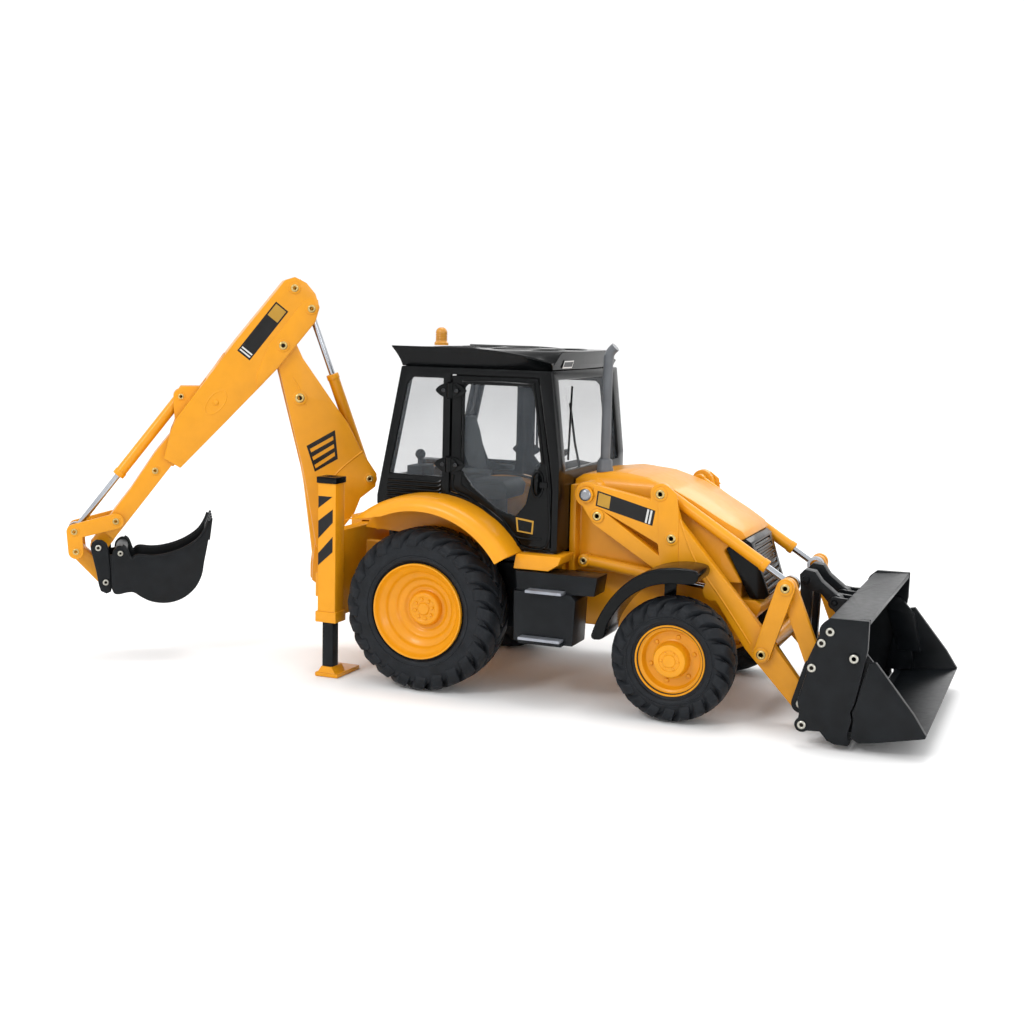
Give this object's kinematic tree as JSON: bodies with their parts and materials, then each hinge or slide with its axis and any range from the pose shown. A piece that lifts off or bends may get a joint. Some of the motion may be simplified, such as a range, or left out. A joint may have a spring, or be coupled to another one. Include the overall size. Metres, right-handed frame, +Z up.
{
  "type": "toy backhoe loader",
  "caption": "Die-cast toy backhoe loader with a glazed cab, front loader with split bucket and pallet forks, stabiliser legs and a swinging telescopic digging arm.",
  "frame": {"origin": "on the ground under the middle of the rear axle", "axes": "+X forward towards the loader bucket, +Y to the machine's left, +Z up"},
  "size_m": [0.217, 0.0801, 0.099],
  "materials": {
    "yellow_paint": "semi-gloss enamel",
    "black_paint": "satin enamel",
    "black_plastic": "glossy",
    "grey_plastic": "matte",
    "seat_grey": "matte",
    "tyre_rubber": "matte",
    "chrome_rod": "polished",
    "steel_axle": "satin",
    "rivet_brass": "satin",
    "clear_glass": "clear",
    "amber": "glossy",
    "tread_metal": "satin"
  },
  "bodies": {
    "chassis": {"chassis_frame": "yellow_paint", "rear_frame": "yellow_paint", "bonnet": "yellow_paint", "grille": "black_plastic", "front_mudguards": "black_plastic", "rear_fenders": "yellow_paint", "exhaust_pipe": "grey_plastic", "cab_frame": "black_plastic", "cab_floor": "black_plastic", "roof": "black_plastic", "beacon": "amber", "cab_glazing": "clear_glass", "cab_controls": "grey_plastic", "steering_wheel": "black_plastic", "driver_seat": "seat_grey", "step_boxes": "black_paint", "step_treads": "tread_metal", "stabiliser_housings": "yellow_paint", "housing_caps": "black_plastic"},
    "rear_wheels": {"rear_axle": "steel_axle", "rear_rim_right": "yellow_paint", "rear_rim_left": "yellow_paint", "rear_tyre_right": "tyre_rubber", "rear_tyre_left": "tyre_rubber"},
    "front_wheels": {"front_axle": "steel_axle", "front_rim_right": "yellow_paint", "front_rim_left": "yellow_paint", "front_tyre_right": "tyre_rubber", "front_tyre_left": "tyre_rubber"},
    "right_door": {"door_right": "black_plastic", "door_glass_right": "clear_glass"},
    "left_door": {"door_left": "black_plastic", "door_glass_left": "clear_glass"},
    "arms": {"loader_arms": "yellow_paint", "loader_arm_pins": "rivet_brass"},
    "lift_cylinders": {"lift_cylinders": "yellow_paint"},
    "lift_rods": {"lift_rods": "chrome_rod"},
    "tilt_cylinders": {"tilt_cylinders": "yellow_paint"},
    "tilt_rods": {"tilt_rods": "chrome_rod"},
    "tilt_levers": {"tilt_levers": "yellow_paint"},
    "tilt_links": {"tilt_links": "yellow_paint"},
    "loader_bucket": {"loader_bucket": "black_paint"},
    "bucket_jaw": {"bucket_jaw": "black_paint"},
    "pallet_forks": {"pallet_forks": "black_paint"},
    "stabiliser_leg_right": {"stabiliser_leg_right": "black_paint"},
    "stabiliser_leg_left": {"stabiliser_leg_left": "black_paint"},
    "sideshift_carriage": {"sideshift_carriage": "yellow_paint"},
    "kingpost": {"kingpost": "yellow_paint"},
    "boom": {"boom": "yellow_paint"},
    "boom_cylinder": {"boom_cylinder": "yellow_paint"},
    "boom_rod": {"boom_rod": "chrome_rod"},
    "dipper_outer": {"dipper_outer": "yellow_paint"},
    "dipper_cylinder": {"dipper_cylinder": "yellow_paint"},
    "dipper_rod": {"dipper_rod": "chrome_rod"},
    "dipper_inner": {"dipper_inner": "yellow_paint"},
    "tipping_levers": {"tipping_levers": "yellow_paint"},
    "tipping_link": {"tipping_link": "yellow_paint"},
    "dig_cylinder": {"dig_cylinder": "yellow_paint"},
    "dig_rod": {"dig_rod": "chrome_rod"},
    "digging_bucket": {"digging_bucket": "black_paint"}
  },
  "joints": [
    {"name": "rear_wheels_spin", "type": "hinge", "parent": "chassis", "child": "rear_wheels", "pos_m": [0, 0, 0.0197], "axis": [0, 1, 0], "continuous": true},
    {"name": "front_wheels_spin", "type": "hinge", "parent": "chassis", "child": "front_wheels", "pos_m": [0.0622, 0, 0.0143], "axis": [0, 1, 0], "continuous": true},
    {"name": "right_door_swing", "type": "hinge", "parent": "chassis", "child": "right_door", "pos_m": [0.0044, -0.025, 0.055], "axis": [0, 0, -1], "range_deg": [0, 70]},
    {"name": "left_door_swing", "type": "hinge", "parent": "chassis", "child": "left_door", "pos_m": [0.0044, 0.025, 0.055], "axis": [0, 0, 1], "range_deg": [0, 70]},
    {"name": "loader_lift", "type": "hinge", "parent": "chassis", "child": "arms", "pos_m": [0.0375, 0, 0.0492], "axis": [0, -1, 0], "range_deg": [0, 50]},
    {"name": "lift_cylinder_turn", "type": "hinge", "parent": "chassis", "child": "lift_cylinders", "pos_m": [0.0362, 0, 0.0329], "axis": [0, -1, 0], "range_deg": [-0.88, 45.12]},
    {"name": "lift_rod_slide", "type": "slide", "parent": "lift_cylinders", "child": "lift_rods", "axis": [0.9928, 0, -0.1199], "range_m": [-0.00028, 0.01366]},
    {"name": "bucket_tilt", "type": "hinge", "parent": "arms", "child": "loader_bucket", "pos_m": [0.0903, 0, 0.0058], "axis": [0, -1, 0], "range_deg": [-50, 5]},
    {"name": "tilt_lever_turn", "type": "hinge", "parent": "arms", "child": "tilt_levers", "pos_m": [0.0809, 0, 0.016], "axis": [0, -1, 0], "range_deg": [-29.92, 3.52]},
    {"name": "tilt_link_turn", "type": "hinge", "parent": "tilt_levers", "child": "tilt_links", "pos_m": [0.0856, 0, 0.0316], "axis": [0, -1, 0], "range_deg": [-3.04, 25.83]},
    {"name": "tilt_cylinder_turn", "type": "hinge", "parent": "arms", "child": "tilt_cylinders", "pos_m": [0.0555, 0, 0.0505], "axis": [0, -1, 0], "range_deg": [-0.08461, 0.71911]},
    {"name": "tilt_rod_slide", "type": "slide", "parent": "tilt_cylinders", "child": "tilt_rods", "axis": [0.8469, 0, -0.5318], "range_m": [-0.00099, 0.00835]},
    {"name": "jaw_open", "type": "hinge", "parent": "loader_bucket", "child": "bucket_jaw", "pos_m": [0.1034, 0, 0.0204], "axis": [0, -1, 0], "range_deg": [0, 35]},
    {"name": "fork_flip", "type": "hinge", "parent": "loader_bucket", "child": "pallet_forks", "pos_m": [0.0945, 0, 0.0269], "axis": [0, 1, 0], "range_deg": [0, 88]},
    {"name": "right_leg_slide", "type": "slide", "parent": "chassis", "child": "stabiliser_leg_right", "axis": [0, 0, 1], "range_m": [0, 0.01]},
    {"name": "left_leg_slide", "type": "slide", "parent": "chassis", "child": "stabiliser_leg_left", "axis": [0, 0, 1], "range_m": [0, 0.01]},
    {"name": "side_shift", "type": "slide", "parent": "chassis", "child": "sideshift_carriage", "axis": [0, 1, 0], "range_m": [-0.01, 0.01]},
    {"name": "boom_swing", "type": "hinge", "parent": "sideshift_carriage", "child": "kingpost", "pos_m": [-0.037, 0, 0.02], "axis": [0, 0, 1], "range_deg": [-111, 39]},
    {"name": "boom_lift", "type": "hinge", "parent": "kingpost", "child": "boom", "pos_m": [-0.04202, -0.00364, 0.03], "axis": [-0.5878, 0.809, 0], "range_deg": [-45, 8]},
    {"name": "boom_cylinder_turn", "type": "hinge", "parent": "kingpost", "child": "boom_cylinder", "pos_m": [-0.04299, -0.00435, 0.021], "axis": [-0.5878, 0.809, 0], "range_deg": [-38.23, 7.41]},
    {"name": "boom_rod_slide", "type": "slide", "parent": "boom_cylinder", "child": "boom_rod", "axis": [-0.0993, -0.0721, 0.9924], "range_m": [-0.00356, 0.0007]},
    {"name": "dipper_swing", "type": "hinge", "parent": "boom", "child": "dipper_outer", "pos_m": [-0.05124, -0.01035, 0.0814], "axis": [-0.5878, 0.809, 0], "range_deg": [-15, 40]},
    {"name": "dipper_cylinder_turn", "type": "hinge", "parent": "boom", "child": "dipper_cylinder", "pos_m": [-0.03271, 0.00312, 0.0467], "axis": [-0.5878, 0.809, 0], "range_deg": [-1.57, 4.06]},
    {"name": "dipper_rod_slide", "type": "slide", "parent": "dipper_cylinder", "child": "dipper_rod", "axis": [-0.2698, -0.196, 0.9427], "range_m": [-0.00774, 0.003]},
    {"name": "dipper_extend", "type": "slide", "parent": "dipper_outer", "child": "dipper_inner", "axis": [-0.5036, -0.3659, -0.7826], "range_m": [0, 0.014]},
    {"name": "dig_curl", "type": "hinge", "parent": "dipper_inner", "child": "digging_bucket", "pos_m": [-0.08882, -0.03765, 0.02942], "axis": [-0.5878, 0.809, 0], "range_deg": [-5, 75]},
    {"name": "tipping_lever_turn", "type": "hinge", "parent": "dipper_inner", "child": "tipping_levers", "pos_m": [-0.08534, -0.03512, 0.03596], "axis": [-0.5878, 0.809, 0], "range_deg": [-3.19, 37.51]},
    {"name": "tipping_link_turn", "type": "hinge", "parent": "tipping_levers", "child": "tipping_link", "pos_m": [-0.09332, -0.04092, 0.02822], "axis": [-0.5878, 0.809, 0], "range_deg": [-0.76, 8.94]},
    {"name": "dig_cylinder_turn", "type": "hinge", "parent": "dipper_inner", "child": "dig_cylinder", "pos_m": [-0.07204, -0.02546, 0.06787], "axis": [-0.5878, 0.809, 0], "range_deg": [-0.51, 5.95]},
    {"name": "dig_rod_slide", "type": "slide", "parent": "dig_cylinder", "child": "dig_rod", "axis": [-0.4949, -0.3595, -0.7911], "range_m": [-0.00531, 0.00046]}
  ],
  "couplings": [
    {"joint": "lift_cylinder_turn", "follows": "loader_lift", "ratio": 0.8848},
    {"joint": "lift_rod_slide", "follows": "loader_lift", "m_per_rad": 0.01534},
    {"joint": "tilt_lever_turn", "follows": "bucket_tilt", "ratio": 0.5866},
    {"joint": "tilt_link_turn", "follows": "bucket_tilt", "ratio": -0.5064},
    {"joint": "tilt_cylinder_turn", "follows": "bucket_tilt", "ratio": -0.0141},
    {"joint": "tilt_rod_slide", "follows": "bucket_tilt", "m_per_rad": -0.00937},
    {"joint": "boom_cylinder_turn", "follows": "boom_lift", "ratio": 0.8328},
    {"joint": "boom_rod_slide", "follows": "boom_lift", "m_per_rad": 0.004428},
    {"joint": "dipper_cylinder_turn", "follows": "dipper_swing", "ratio": 0.0996},
    {"joint": "dipper_rod_slide", "follows": "dipper_swing", "m_per_rad": -0.010861},
    {"joint": "tipping_lever_turn", "follows": "dig_curl", "ratio": 0.4903},
    {"joint": "tipping_link_turn", "follows": "dig_curl", "ratio": 0.1168},
    {"joint": "dig_cylinder_turn", "follows": "dig_curl", "ratio": 0.0778},
    {"joint": "dig_rod_slide", "follows": "dig_curl", "m_per_rad": -0.003967}
  ]
}
